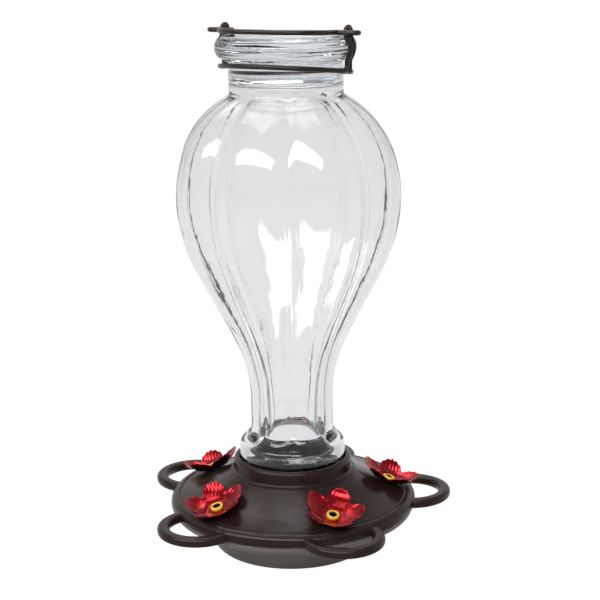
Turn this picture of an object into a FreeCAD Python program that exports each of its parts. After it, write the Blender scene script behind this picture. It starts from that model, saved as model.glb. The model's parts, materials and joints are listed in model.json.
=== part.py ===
import FreeCAD, Part
import os
from math import acos, asin, atan2, cos, degrees, hypot, pi, radians, sin, sqrt, tan

Vector = FreeCAD.Vector

# A hummingbird feeder that hangs, or stands on its bowl. Millimetres, +Z up.
# The origin is the centre of the bowl's flat underside. The bottle's axis is Z.
# Azimuths are in degrees about Z, from the viewer's side (-Y) towards +X.

# Turning fits and gaps, how far features of one moulding sink into each other,
# and how near two points count as one
RUNNING_GAP = 0.3
FACE_GAP = 0.15
SEATED_GAP = 0.05
OVERLAP = 0.5
SAME_POINT = 0.001

# Bowl: the shallow dish at the bottom
BOWL_FOOT_R = 41.0
BOWL_FOOT_ROUND = 4.0
BOWL_STEP_R = 48.0
BOWL_STEP_Z = 10.0
BOWL_STEP_SIZE = 0.8
BOWL_STEP_ROUND = 1.5
BOWL_INSIDE_ROUND = 3.0
BOWL_WALL = 2.2
SPIGOT_WALL = 2.0

# Cover: rim, dome and collar
RIM_R = 65.3
RIM_BOTTOM_Z = 22.0
RIM_HEIGHT = 6.6
RIM_LAND = 4.6
RIM_WALL = 2.9
RIM_ROUND = 1.6
RIM_TOP_ROUND = 4.0
RIM_INSIDE_ROUND = 0.6
COVER_WALL = 2.4
UNDER_DOME_ROUND = 2.0
UNDER_DOME_DROP = 3.6
CREASE_DEPTH = 0.25
DOME_TOP_R = 33.2
DOME_TOP_Z = 40.6
DOME_EDGE_SLOPE = 12.0
DOME_CURVE_R = 60.0
COLLAR_WALL = 3.0
COLLAR_TOP_Z = 49.0
COLLAR_STEP = 0.5
COLLAR_ROUND = 1.9
COLLAR_INSIDE_ROUND = 0.9
COLLAR_FOOT_ROUND = 1.7
LEDGE_Z = 43.4
LEDGE_THICKNESS = 2.4
SOCKET_WALL = 2.4
SOCKET_BOTTOM_Z = 6.0
SOCKET_DOORS = 4
SOCKET_DOOR_WIDTH = 12.0
SOCKET_DOOR_TOP_Z = 16.0

# Twist lock between bowl and cover
LUGS = 3
LUG_ARC = 22.0
LUG_DEPTH = 1.2
LUG_HEIGHT = 1.6

# Perches: five loops moulded in one piece with the rim
PORTS = 5
FIRST_PORT_AZIMUTH = 23.0
PERCH_BAR_WIDTH = 6.2
PERCH_BAR_HEIGHT = 4.9
PERCH_EDGE_ROUND = 2.0
PERCH_LOOP_R = 18.1
PERCH_REACH = 85.1

# Blossoms and their yellow ports
PORT_SEAT_REACH = 51.3
PORT_SEAT_R = 5.4
PORT_SEAT_RISE = 0.4
PORT_TUBE_R = 2.35
PORT_BORE_R = 1.5
PORT_RISE = 2.3
PORT_RING_R = 3.35
PORT_RING_ROUND = 0.65
PORT_LIP = 0.5
PORT_LIP_R = 2.1
PETALS = 5
PETAL_SHEET = 0.7
BLOSSOM_DISC_R = 5.3
BLOSSOM_R = 15.4
PETAL_HALF_WIDTH = 6.2
PETAL_CUP_R = 12.0
PETAL_CUP_START = 4.2
PETAL_SPREAD = 67.0
PETAL_TIP_Z = 8.0
BLOSSOM_TURNS = (-4.0, 8.0, 0.0, 15.0, 20.0)

# Bottle: mouth, foot bead, eight lobes, neck and lip bead
GLASS_WALL = 3.0
MOUTH_Z = 18.0
MOUTH_R = 23.6
MOUTH_WALL = 3.4
LIP_ROUND = 1.2
FOOT_R = 27.9
FOOT_ROUND = 4.5
FOOT_SHOULDER_Z = 57.6
FOOT_SHOULDER_RISE = 5.6
LOBES = 8
LOBE_VALLEY_AZIMUTH = 2.0
LOBE_ARC_SHARE = 0.431
VALLEY_ARC_SHARE = 0.085
LOBE_STEPS = 2
WAIST_R = 22.4
WAIST_Z = 74.0
BELLY_R = 59.3
BELLY_Z = 190.0
NECK_R = 29.0
SHOULDER_TOP_Z = 239.0
BEAD_PROUD = 6.7
BEAD_BOTTOM_Z = 257.5
BEAD_HEIGHT = 12.4
BEAD_ROUND = 5.9
NECK_FILLET = 1.8
TOP_RECESS_R = 24.0
TOP_RECESS_DEPTH = 1.2
TOP_WALL = 4.0

# The swell of the lobes as (share of height, share of radius), from waist to belly and belly to neck
LOWER_SWELL = (
    (0.0, 0.0), (0.15, 0.018), (0.26, 0.10), (0.40, 0.29), (0.57, 0.578), (0.74, 0.84), (0.88, 0.965),
)
UPPER_SWELL = (
    (0.0, 1.0), (0.286, 0.95), (0.53, 0.825), (0.735, 0.61), (0.898, 0.33), (1.0, 0.085), (1.08, -0.14),
)

# Bottle seal in the collar
SEAL_THICKNESS = 2.0

# Neck wire and hanger: bent from one size of wire
WIRE = 2.5
EAR_AZIMUTH = 61.0
EAR_PROUD = 2.4
EAR_LEG_LEAN = 10.0
EYE_GAP = 0.2
RING_SLACK = 2.55
RING_Z = 252.6
EYE_Z = 271.3
EAR_BEND_SHARE = 0.9
WIRE_CORNER_R = 2.6
HOOK_PITCH = 5.6
HOOK_PROUD = 4.0
HOOK_TAIL = 2.2
BAIL_HALF_WIDTH = 29.0
BAIL_RISE = 30.0
BAIL_SHOULDER_ALONG = 17.0
BAIL_SHOULDER_DROP = 12.0
BAIL_SHOULDER_R = 20.0
BAIL_BEND_R = 4.0
BAIL_REST_TILT = 3.0

# Radii that follow from the sizes above
BEAD_R = NECK_R + BEAD_PROUD
RING_R = NECK_R + RING_SLACK + WIRE / 2
EAR_R = RING_R + EAR_PROUD
HOOK_REACH = EAR_R + HOOK_PROUD
HOOK_TAIL_R = EAR_R - HOOK_TAIL


def at(radius, azimuth, z):
    """A point by radius, azimuth and height."""
    a = radians(azimuth)
    return Vector(radius * sin(a), -radius * cos(a), z)


def rounded_edges(corners, closed=True):
    """Lines joined by tangent arcs. Each corner is (point, rounding radius)."""
    count = len(corners)
    cuts = []
    for i, (point, radius) in enumerate(corners):
        if radius <= 0 or (not closed and i in (0, count - 1)):
            cuts.append((point, None, point))
            continue
        back = (corners[i - 1][0] - point).normalize()
        ahead = (corners[(i + 1) % count][0] - point).normalize()
        half = acos(max(-1.0, min(1.0, back.dot(ahead)))) / 2
        reach = radius / tan(half)
        middle = (back + ahead).normalize()
        crown = point + middle * (radius / sin(half) - radius)
        cuts.append((point + back * reach, crown, point + ahead * reach))
    edges = []
    for i, (enter, crown, leave) in enumerate(cuts):
        if crown is not None:
            edges.append(Part.Arc(enter, crown, leave).toShape())
        if closed or i < count - 1:
            there = cuts[(i + 1) % count][0]
            if (there - leave).Length > SAME_POINT:
                edges.append(Part.makeLine(leave, there))
    return edges


def turned(outline):
    """A solid of revolution about Z from corners of (radius, height, rounding)."""
    corners = [(Vector(r, 0, z), rounding) for r, z, rounding in outline]
    wire = Part.Wire(rounded_edges(corners))
    return Part.Face(wire).revolve(Vector(0, 0, 0), Vector(0, 0, 1), 360)


def ring(inner_r, outer_r, low_z, high_z):
    """A plain ring about Z."""
    outer = Part.makeCylinder(outer_r, high_z - low_z, Vector(0, 0, low_z))
    return outer.cut(Part.makeCylinder(inner_r, high_z - low_z, Vector(0, 0, low_z)))


def sector(azimuth, arc, inner_r, outer_r, low_z, high_z):
    """A block between two radii, two heights and two azimuths."""
    start = at(inner_r, azimuth - arc / 2, low_z)
    face = Part.Face(Part.Wire([
        Part.makeLine(start, at(outer_r, azimuth - arc / 2, low_z)),
        Part.Arc(at(outer_r, azimuth - arc / 2, low_z), at(outer_r, azimuth, low_z),
                 at(outer_r, azimuth + arc / 2, low_z)).toShape(),
        Part.makeLine(at(outer_r, azimuth + arc / 2, low_z), at(inner_r, azimuth + arc / 2, low_z)),
        Part.Arc(at(inner_r, azimuth + arc / 2, low_z), at(inner_r, azimuth, low_z), start).toShape(),
    ]))
    return face.extrude(Vector(0, 0, high_z - low_z))


def solid_from(faces):
    """A closed solid from faces that share their edges."""
    shell = Part.makeShell(faces)
    shell.sewShape()
    return Part.Solid(Part.Shell(shell.Faces))


def bent_wire(corners, diameter):
    """Round wire along straight runs joined by tangent bends.

    Each run is a cylinder and each bend is part of a ring.
    """
    edges = rounded_edges(corners, closed=False)
    start = corners[0][0]
    section = Part.Wire(Part.makeCircle(diameter / 2, start, corners[1][0] - start))
    faces = [Part.Face(section)]
    for edge in edges:
        if isinstance(edge.Curve, Part.Circle):
            arc = edge.Curve
            sweep = degrees(edge.LastParameter - edge.FirstParameter)
            skin = section.revolve(arc.Center, arc.Axis, sweep)
            turned_section = section.copy()
            turned_section.rotate(arc.Center, arc.Axis, sweep)
            section = turned_section
        else:
            run = edge.valueAt(edge.LastParameter) - edge.valueAt(edge.FirstParameter)
            skin = section.extrude(run)
            section = section.copy()
            section.translate(run)
        faces += skin.Faces
    faces.append(Part.Face(section))
    return solid_from(faces)


def fused(solids):
    """One solid from touching solids."""
    return solids[0].multiFuse(solids[1:]).removeSplitter()


def save(shape, node):
    """Write one node, and say how large it is."""
    shape.exportStep("parts/" + node + ".step")
    print(node, "volume", round(shape.Volume), "valid", shape.isValid(), "solids", len(shape.Solids))


# Bottle

def lobed_section(z, crest_r, inset):
    """Points round one level: round lobes with rounded valleys between them, inset from the outer surface."""
    half_pitch = pi / LOBES
    lobe_arc = LOBE_ARC_SHARE * crest_r
    lobe_centre = crest_r - lobe_arc
    valley_arc = VALLEY_ARC_SHARE * crest_r
    reach = sqrt((lobe_arc + valley_arc) ** 2 - (lobe_centre * sin(half_pitch)) ** 2)
    valley_centre = lobe_centre * cos(half_pitch) + reach
    # From the lobe's centre, the angle from its crest to where it meets the valley's arc
    turn = atan2(valley_centre * sin(half_pitch), valley_centre * cos(half_pitch) - lobe_centre)
    valley_r = valley_centre - valley_arc - inset
    points = []
    for i in range(LOBES):
        valley = LOBE_VALLEY_AZIMUTH + 180 + 360.0 / LOBES * i
        crest = valley + 180.0 / LOBES
        points.append(at(valley_r, valley, z))
        for step in range(-LOBE_STEPS, LOBE_STEPS + 1):
            along = turn * step / LOBE_STEPS
            x = lobe_centre + (lobe_arc - inset) * cos(along)
            y = (lobe_arc - inset) * sin(along)
            points.append(at(hypot(x, y), crest + degrees(atan2(y, x)), z))
    points.append(points[0])
    return points


def lobed_body(inset):
    """The fluted body, one smooth skin from the foot to inside the neck, closed by flat ends."""
    foot_z = FOOT_SHOULDER_Z - GLASS_WALL
    stations = [(foot_z, WAIST_R), ((foot_z + WAIST_Z) / 2, WAIST_R)]
    for height, swell in LOWER_SWELL:
        stations.append((WAIST_Z + height * (BELLY_Z - WAIST_Z), WAIST_R + swell * (BELLY_R - WAIST_R)))
    for height, swell in UPPER_SWELL:
        stations.append((BELLY_Z + height * (SHOULDER_TOP_Z - BELLY_Z), NECK_R + swell * (BELLY_R - NECK_R)))
    skin = Part.BSplineSurface()
    skin.interpolate([lobed_section(z, crest_r, inset) for z, crest_r in stations])
    side = skin.toShape()
    faces = [side]
    for z in (stations[0][0], stations[-1][0]):
        rim = []
        for edge in side.Edges:
            if max(abs(edge.BoundBox.ZMin - z), abs(edge.BoundBox.ZMax - z)) < SAME_POINT:
                rim.append(edge)
        faces.append(Part.Face(Part.Wire(rim)))
    return solid_from(faces)


def make_bottle():
    seat_z = LEDGE_Z + SEAL_THICKNESS + 2 * FACE_GAP
    shoulder_r = WAIST_R - GLASS_WALL - OVERLAP
    foot = turned([
        (0, MOUTH_Z, 0), (MOUTH_R, MOUTH_Z, LIP_ROUND), (MOUTH_R, seat_z, 0),
        (FOOT_R, seat_z, LIP_ROUND), (FOOT_R, FOOT_SHOULDER_Z, FOOT_ROUND),
        (shoulder_r, FOOT_SHOULDER_Z + FOOT_SHOULDER_RISE, 0), (0, FOOT_SHOULDER_Z + FOOT_SHOULDER_RISE, 0),
    ])
    bead_top_z = BEAD_BOTTOM_Z + BEAD_HEIGHT
    recess_floor_z = bead_top_z - TOP_RECESS_DEPTH
    neck_low_z = SHOULDER_TOP_Z - 2 * GLASS_WALL
    neck = turned([
        (0, neck_low_z, 0), (NECK_R, neck_low_z, 0), (NECK_R, BEAD_BOTTOM_Z, NECK_FILLET),
        (BEAD_R, BEAD_BOTTOM_Z, BEAD_ROUND), (BEAD_R, bead_top_z, BEAD_ROUND),
        (TOP_RECESS_R, bead_top_z, TOP_RECESS_DEPTH),
        (TOP_RECESS_R - 3 * TOP_RECESS_DEPTH, recess_floor_z, TOP_RECESS_DEPTH), (0, recess_floor_z, 0),
    ])
    outside = lobed_body(0).fuse([foot, neck])
    throat_r = MOUTH_R - MOUTH_WALL
    throat = Part.makeCylinder(throat_r, FOOT_SHOULDER_Z - MOUTH_Z + OVERLAP, Vector(0, 0, MOUTH_Z - OVERLAP))
    upper_r = NECK_R - GLASS_WALL
    upper_top_z = recess_floor_z - TOP_WALL
    upper = turned([
        (0, neck_low_z, 0), (upper_r, neck_low_z, 0), (upper_r, upper_top_z, 2 * GLASS_WALL),
        (0, upper_top_z, 0),
    ])
    inside = lobed_body(GLASS_WALL).fuse([throat, upper])
    return outside.cut(inside)


def make_seal():
    low_z = LEDGE_Z + FACE_GAP
    return ring(MOUTH_R + RUNNING_GAP, FOOT_R - RUNNING_GAP, low_z, low_z + SEAL_THICKNESS)


# Cover and bowl

def rim_inner_r():
    return RIM_R - RIM_WALL


def dome_outline():
    """Corners of the dome's outer curve, from the rim's crease to the foot of the collar."""
    rim_top_z = RIM_BOTTOM_Z + RIM_HEIGHT
    crease_r = RIM_R - RIM_LAND
    slope = tan(radians(DOME_EDGE_SLOPE))
    steep = degrees(2 * atan2(DOME_TOP_Z - rim_top_z, crease_r - DOME_TOP_R)) - DOME_EDGE_SLOPE
    rise = tan(radians(steep))
    # The two tangents of the dome's curve meet here
    meet_r = (DOME_TOP_Z - rim_top_z + DOME_TOP_R * rise - crease_r * slope) / (rise - slope)
    meet_z = rim_top_z + (crease_r - meet_r) * slope
    return crease_r, rim_top_z, meet_r, meet_z


def dome_z(radius):
    """Height of the dome's outer surface, for the ports that stand on it."""
    crease_r, rim_top_z, meet_r, meet_z = dome_outline()
    near = atan2(meet_z - rim_top_z, crease_r - meet_r)
    far = atan2(DOME_TOP_Z - meet_z, meet_r - DOME_TOP_R)
    reach = DOME_CURVE_R * tan((far - near) / 2)
    start_r = meet_r + reach * cos(near)
    start_z = meet_z - reach * sin(near)
    centre_r = start_r + DOME_CURVE_R * sin(near)
    centre_z = start_z + DOME_CURVE_R * cos(near)
    end_r = meet_r - reach * cos(far)
    if radius >= start_r:
        return start_z - (radius - start_r) * tan(near), degrees(near)
    if radius <= end_r:
        return meet_z + (meet_r - radius) * tan(far), degrees(far)
    lean = asin((centre_r - radius) / DOME_CURVE_R)
    return centre_z - DOME_CURVE_R * cos(lean), degrees(lean)


def port_frame(index):
    """Placement of one port: its seat's centre, leaning outwards with the dome."""
    azimuth = FIRST_PORT_AZIMUTH + 360.0 / PORTS * index
    seat_z, lean = dome_z(PORT_SEAT_REACH)
    tilt = FreeCAD.Rotation(Vector(0, 1, 0), lean)
    turn = FreeCAD.Rotation(Vector(0, 0, 1), azimuth - 90)
    rotation = turn.multiply(tilt)
    rise = rotation.multVec(Vector(0, 0, PORT_SEAT_RISE))
    return FreeCAD.Placement(at(PORT_SEAT_REACH, azimuth, seat_z) + rise, rotation)


def tube_top():
    """Height of a port's tube above its seat, just under the lip of the ring that caps it."""
    return PORT_RISE - PORT_LIP - SEATED_GAP


def perch(azimuth):
    """One perch: a bar bent to a half circle, with two straight arms rooted in the rim."""
    half = PERCH_BAR_WIDTH / 2
    high_z = RIM_BOTTOM_Z + PERCH_BAR_HEIGHT
    nose_y = PERCH_LOOP_R + half - PERCH_REACH
    corners = []
    for x, z in ((-half, RIM_BOTTOM_Z), (half, RIM_BOTTOM_Z), (half, high_z), (-half, high_z)):
        corners.append((Vector(PERCH_LOOP_R + x, nose_y, z), PERCH_EDGE_ROUND))
    section = Part.Face(Part.Wire(rounded_edges(corners)))
    nose = section.revolve(Vector(0, nose_y, 0), Vector(0, 0, 1), -180)
    arm = section.extrude(Vector(0, -nose_y, 0))
    bar = fused([nose, arm, arm.mirror(Vector(0, 0, 0), Vector(1, 0, 0))])
    # The arms end inside the rim's wall
    root = Part.makeCylinder(RIM_R - RIM_WALL / 2, 3 * PERCH_BAR_HEIGHT,
                             Vector(0, 0, RIM_BOTTOM_Z - PERCH_BAR_HEIGHT))
    return bar.cut(root).rotate(Vector(0, 0, 0), Vector(0, 0, 1), azimuth)


def make_cover():
    crease_r, rim_top_z, meet_r, meet_z = dome_outline()
    collar_inner_r = FOOT_R + RUNNING_GAP
    collar_r = collar_inner_r + COLLAR_WALL
    socket_inner_r = MOUTH_R + RUNNING_GAP
    socket_r = socket_inner_r + SOCKET_WALL
    under_z = LEDGE_Z - LEDGE_THICKNESS
    inner_r = rim_inner_r()
    groove = 2 * CREASE_DEPTH
    groove_rise = 2 * groove * tan(radians(DOME_EDGE_SLOPE))
    shell = turned([
        (RIM_R, RIM_BOTTOM_Z, RIM_ROUND), (RIM_R, rim_top_z, RIM_TOP_ROUND),
        (crease_r, rim_top_z, CREASE_DEPTH), (crease_r - groove, rim_top_z - CREASE_DEPTH, CREASE_DEPTH),
        (crease_r - 2 * groove, rim_top_z + groove_rise, CREASE_DEPTH),
        (meet_r, meet_z, DOME_CURVE_R), (DOME_TOP_R, DOME_TOP_Z, 0),
        (DOME_TOP_R, DOME_TOP_Z + COLLAR_STEP, COLLAR_STEP / 2),
        (collar_r, DOME_TOP_Z + COLLAR_STEP, COLLAR_FOOT_ROUND),
        (collar_r, COLLAR_TOP_Z, COLLAR_ROUND), (collar_inner_r, COLLAR_TOP_Z, COLLAR_INSIDE_ROUND),
        (collar_inner_r, LEDGE_Z, 0), (socket_inner_r, LEDGE_Z, 0),
        (socket_inner_r, SOCKET_BOTTOM_Z, 0), (socket_r, SOCKET_BOTTOM_Z, 0),
        (socket_r, under_z - COVER_WALL, UNDER_DOME_ROUND),
        (DOME_TOP_R, DOME_TOP_Z - UNDER_DOME_DROP, UNDER_DOME_ROUND),
        (meet_r, meet_z - COVER_WALL, DOME_CURVE_R),
        (inner_r, rim_top_z - COVER_WALL, RIM_INSIDE_ROUND), (inner_r, RIM_BOTTOM_Z, 0),
    ])
    perches = []
    for i in range(PORTS):
        perches.append(perch(FIRST_PORT_AZIMUTH + 360.0 / PORTS * i))
    seats = []
    bores = []
    for i in range(PORTS):
        frame = port_frame(i)
        foot = Vector(0, 0, -COVER_WALL - PORT_SEAT_RISE)
        seat = Part.makeCylinder(PORT_SEAT_R, -foot.z, foot)
        tube = Part.makeCylinder(PORT_TUBE_R, tube_top() - foot.z, foot)
        for boss in (seat, tube):
            boss.Placement = frame
            seats.append(boss)
        bore = Part.makeCylinder(PORT_BORE_R, PORT_RISE - 3 * foot.z, 3 * foot)
        bore.Placement = frame
        bores.append(bore)
    lugs = []
    for i in range(LUGS):
        lugs.append(sector(360.0 / LUGS * i, LUG_ARC, inner_r - LUG_DEPTH, inner_r + OVERLAP,
                           RIM_BOTTOM_Z, RIM_BOTTOM_Z + LUG_HEIGHT))
    doors = []
    for i in range(SOCKET_DOORS):
        door = Part.makeBox(SOCKET_WALL * 4, SOCKET_DOOR_WIDTH, SOCKET_DOOR_TOP_Z - SOCKET_BOTTOM_Z,
                            Vector(socket_r - SOCKET_WALL * 3, -SOCKET_DOOR_WIDTH / 2, SOCKET_BOTTOM_Z))
        doors.append(door.rotate(Vector(0, 0, 0), Vector(0, 0, 1), 360.0 / SOCKET_DOORS * i))
    return shell.fuse(perches + seats + lugs).cut(bores + doors)


def make_bowl():
    inner_r = rim_inner_r()
    spigot_r = inner_r - LUG_DEPTH - RUNNING_GAP
    shoulder_r = inner_r + RIM_WALL / 2
    shoulder_z = RIM_BOTTOM_Z - FACE_GAP
    # The spigot and its lugs end just under the cover's rim
    top_z = RIM_BOTTOM_Z + RIM_HEIGHT - COVER_WALL - 2 * RUNNING_GAP
    dish = turned([
        (0, 0, 0), (BOWL_FOOT_R, 0, BOWL_FOOT_ROUND), (BOWL_STEP_R, BOWL_STEP_Z, BOWL_STEP_ROUND),
        (BOWL_STEP_R + BOWL_STEP_SIZE, BOWL_STEP_Z + BOWL_STEP_SIZE, 0),
        (shoulder_r, shoulder_z - BOWL_WALL, BOWL_STEP_ROUND), (shoulder_r, shoulder_z, 0),
        (spigot_r, shoulder_z, 0), (spigot_r, top_z, 0), (spigot_r - SPIGOT_WALL, top_z, 0),
        (spigot_r - SPIGOT_WALL, shoulder_z - BOWL_WALL, BOWL_INSIDE_ROUND),
        (BOWL_STEP_R - BOWL_WALL, BOWL_STEP_Z, BOWL_INSIDE_ROUND),
        (BOWL_FOOT_R - BOWL_WALL, BOWL_WALL, BOWL_FOOT_ROUND),
        (0, BOWL_WALL, 0),
    ])
    lugs = []
    for i in range(LUGS):
        lugs.append(sector(360.0 / LUGS * i, LUG_ARC, spigot_r - OVERLAP, inner_r - RUNNING_GAP,
                           RIM_BOTTOM_Z + LUG_HEIGHT + RUNNING_GAP, top_z))
    return dish.fuse(lugs)


# Blossoms and ports

def petal():
    """One scooped petal of thin sheet, along +X."""
    centre = Vector(PETAL_CUP_START, 0, PETAL_CUP_R)
    cup = Part.makeSphere(PETAL_CUP_R + PETAL_SHEET, centre).cut(Part.makeSphere(PETAL_CUP_R, centre))
    outline = Part.makeCylinder(PETAL_HALF_WIDTH, PETAL_TIP_Z + PETAL_SHEET,
                                Vector(BLOSSOM_R - PETAL_HALF_WIDTH, 0, -PETAL_SHEET))
    spread = Part.makeCylinder(BLOSSOM_R + OVERLAP, PETAL_TIP_Z + PETAL_SHEET, Vector(0, 0, -PETAL_SHEET),
                               Vector(0, 0, 1), PETAL_SPREAD)
    spread.rotate(Vector(0, 0, 0), Vector(0, 0, 1), -PETAL_SPREAD / 2)
    return cup.common(outline).common(spread)


def make_blossom(index):
    disc = Part.makeCylinder(BLOSSOM_DISC_R, PETAL_SHEET, Vector(0, 0, -PETAL_SHEET))
    petals = []
    for i in range(PETALS):
        turn = 360.0 / PETALS * i + BLOSSOM_TURNS[index]
        petals.append(petal().rotate(Vector(0, 0, 0), Vector(0, 0, 1), turn))
    hole = Part.makeCylinder(PORT_TUBE_R + SEATED_GAP, 4 * PETAL_SHEET, Vector(0, 0, -2 * PETAL_SHEET))
    # A flat land for the port's ring
    land = Part.makeCylinder(PORT_RING_R + SEATED_GAP, PETAL_TIP_Z)
    blossom = disc.fuse(petals).cut([hole, land])
    blossom.translate(Vector(0, 0, PETAL_SHEET + SEATED_GAP))
    blossom.Placement = port_frame(index).multiply(blossom.Placement)
    return blossom


def make_port(index):
    """A ring that caps the port's tube and holds the blossom down."""
    low = PETAL_SHEET + 2 * SEATED_GAP
    bore_r = PORT_TUBE_R + SEATED_GAP
    port = turned([
        (bore_r, low, 0), (PORT_RING_R, low, 0), (PORT_RING_R, PORT_RISE, PORT_RING_ROUND),
        (PORT_LIP_R, PORT_RISE, PORT_LIP / 2), (PORT_LIP_R, PORT_RISE - PORT_LIP, 0),
        (bore_r, PORT_RISE - PORT_LIP, 0),
    ])
    port.Placement = port_frame(index)
    return port


# Neck wire and hanger

def on_ear_axis(along, across, z):
    """A point measured along the line through the ears, across it towards the folded hanger, and up."""
    return at(along, EAR_AZIMUTH, z) + at(across, EAR_AZIMUTH - 90, 0)


def ear_leg(side, which):
    """Corners of one leg of an ear, from its foot up to the eye, bowed round the lip bead."""
    bead_z = BEAD_BOTTOM_Z + BEAD_HEIGHT / 2
    eye_r = WIRE + EYE_GAP
    leg_lean = radians(EAR_LEG_LEAN)
    eye_corner = eye_r / tan(pi / 4 - leg_lean / 2)
    # The bow ends where the eye's curve begins
    reach = EYE_Z + eye_r - eye_corner * cos(leg_lean) - bead_z
    bow = BEAD_R + RUNNING_GAP + WIRE / 2 - EAR_R
    lean = 2 * atan2(bow, reach)
    bow_r = BEAD_ROUND + RUNNING_GAP + WIRE / 2
    # The bend below the eye and the one at the foot leave a short straight run to the bow
    bend_r = EAR_BEND_SHARE * (reach / sin(lean) - bow_r)
    step = bend_r * tan(lean / 2)
    peak = EAR_R + bow + bow_r * (1 / cos(lean) - 1)
    spread = tan(leg_lean)
    together = eye_corner - (EYE_Z + eye_r - bead_z) * spread
    upper_z = bead_z + reach - step
    return [
        (on_ear_axis(side * EAR_R, which * together, bead_z - reach + step), bend_r),
        (on_ear_axis(side * peak, which * together, bead_z), bow_r),
        (on_ear_axis(side * EAR_R, which * (together + (upper_z - bead_z) * spread), upper_z), bend_r),
        (on_ear_axis(side * EAR_R, which * eye_corner, EYE_Z + eye_r), eye_r),
    ]


def make_neck_wire():
    """Two halves of one closed wire, each from the middle of the front to the middle of the back."""
    # The ring hangs crooked: its front lies just under the lip bead
    clear_r = BEAD_ROUND + RUNNING_GAP + WIRE / 2
    front_z = BEAD_BOTTOM_Z + BEAD_ROUND - sqrt(clear_r ** 2 - (RING_R - BEAD_R + BEAD_ROUND) ** 2)
    tilt = (front_z - RING_Z) / RING_R
    halves = []
    for side in (1, -1):
        front = ear_leg(side, 1)
        back = ear_leg(side, -1)
        leg_half = (front[0][0] - back[0][0]).Length / 2
        # The ring leaves its circle along the tangent that meets the foot of the ear
        touch = atan2(leg_half, EAR_R) + acos(RING_R / hypot(EAR_R, leg_half))
        corner_angle = (pi / 2 + touch) / 2
        corner_r = RING_R / cos((pi / 2 - touch) / 2)
        corner_along = corner_r * cos(corner_angle)
        corner_across = corner_r * sin(corner_angle)
        # The ring's tilt sharpens this turn a little, so its bend is a little tighter
        bend_r = RING_R - RUNNING_GAP

        def on_ring(along, across):
            return on_ear_axis(side * along, across, RING_Z + across * tilt)

        corners = [(on_ring(0, RING_R), 0), (on_ring(corner_along, corner_across), bend_r),
                   (on_ring(EAR_R, leg_half), WIRE_CORNER_R)]
        corners += front
        corners += reversed(back)
        corners += [(on_ring(EAR_R, -leg_half), WIRE_CORNER_R),
                    (on_ring(corner_along, -corner_across), bend_r), (on_ring(0, -RING_R), 0)]
        halves.append(bent_wire(corners, WIRE))
    return fused(halves)


def make_hanger():
    """An arch with a U hook at each end. The inner leg of each hook is the hinge."""
    up = tan(radians(BAIL_REST_TILT))
    hook_r = HOOK_PITCH / 2

    def spot(along, across):
        return on_ear_axis(along, across, EYE_Z + across * up)

    halves = []
    for side in (1, -1):
        hook_end = side * (HOOK_REACH + hook_r)
        halves.append(bent_wire([
            (spot(0, BAIL_RISE), 0),
            (spot(side * BAIL_SHOULDER_ALONG, BAIL_RISE), BAIL_SHOULDER_R),
            (spot(side * BAIL_HALF_WIDTH, BAIL_RISE - BAIL_SHOULDER_DROP), BAIL_SHOULDER_R),
            (spot(side * BAIL_HALF_WIDTH, 0), BAIL_BEND_R),
            (spot(hook_end, 0), hook_r),
            (spot(hook_end, HOOK_PITCH), hook_r),
            (spot(side * HOOK_TAIL_R, HOOK_PITCH), 0),
        ], WIRE))
    return fused(halves)


os.makedirs("parts", exist_ok=True)
save(make_bottle(), "bottle")
save(make_seal(), "bottle_seal")
save(make_neck_wire(), "neck_wire")
save(make_hanger(), "hanger_bail")
save(make_cover(), "feeder_cover")
save(make_bowl(), "nectar_bowl")
for number in range(PORTS):
    save(make_blossom(number), "flower_" + str(number + 1))
    save(make_port(number), "port_" + str(number + 1))
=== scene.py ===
# %% [markdown]
# # A glass hummingbird feeder
#
# The real feeder is a melon-shaped glass bottle that stands on its mouth in a dark moulded base. Five red
# blossoms mark the ports, and a wire bail carries it. Its construction is already packed: this lesson loads
# that model as a fixed frame, and gives each piece the surface that the eye expects. Such a scene could also
# start from nothing, but then every fit and every hinge would have to be found again.

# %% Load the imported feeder
import json
import random
from math import atan2, cos, pi, radians, sin, sqrt, tan

import bpy
from mathutils import Matrix, Vector, noise


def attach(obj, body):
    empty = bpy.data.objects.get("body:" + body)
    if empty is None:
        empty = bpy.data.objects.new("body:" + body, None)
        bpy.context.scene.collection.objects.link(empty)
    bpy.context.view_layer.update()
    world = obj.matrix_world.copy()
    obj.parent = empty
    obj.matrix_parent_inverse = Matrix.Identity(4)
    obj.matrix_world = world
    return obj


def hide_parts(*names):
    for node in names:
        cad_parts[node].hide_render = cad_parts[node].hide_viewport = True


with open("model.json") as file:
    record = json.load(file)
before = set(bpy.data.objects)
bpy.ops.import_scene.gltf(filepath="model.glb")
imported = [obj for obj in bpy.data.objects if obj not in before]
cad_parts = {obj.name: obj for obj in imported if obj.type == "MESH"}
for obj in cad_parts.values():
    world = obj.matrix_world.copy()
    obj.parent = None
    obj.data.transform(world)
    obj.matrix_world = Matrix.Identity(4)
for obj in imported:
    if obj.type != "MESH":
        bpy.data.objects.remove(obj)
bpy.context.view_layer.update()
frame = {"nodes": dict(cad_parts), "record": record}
nodes = frame["nodes"]
scene = bpy.context.scene
MM = 0.001

# %% [markdown]
# ## The camera
#
# The photograph was taken from a little above with a long lens, so the perches show as flat ovals while the
# bottle hardly narrows. A lens is the angle of view and nothing else, so it is found from how much larger
# the near rim of the base is than the far one. The feeder leans by less than a degree, which is made here by
# a small roll of the camera, because the feeder itself stands straight in its frame.

# %% Place the camera
LENS_MM = 90.5
SENSOR_MM = 36.0
NEAREST_SEEN = 0.01
PITCH = radians(14.15)
ROLL = radians(-0.9)
DISTANCE = 784.7 * MM
TARGET = Vector((5.3, 0, 133.1)) * MM


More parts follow.
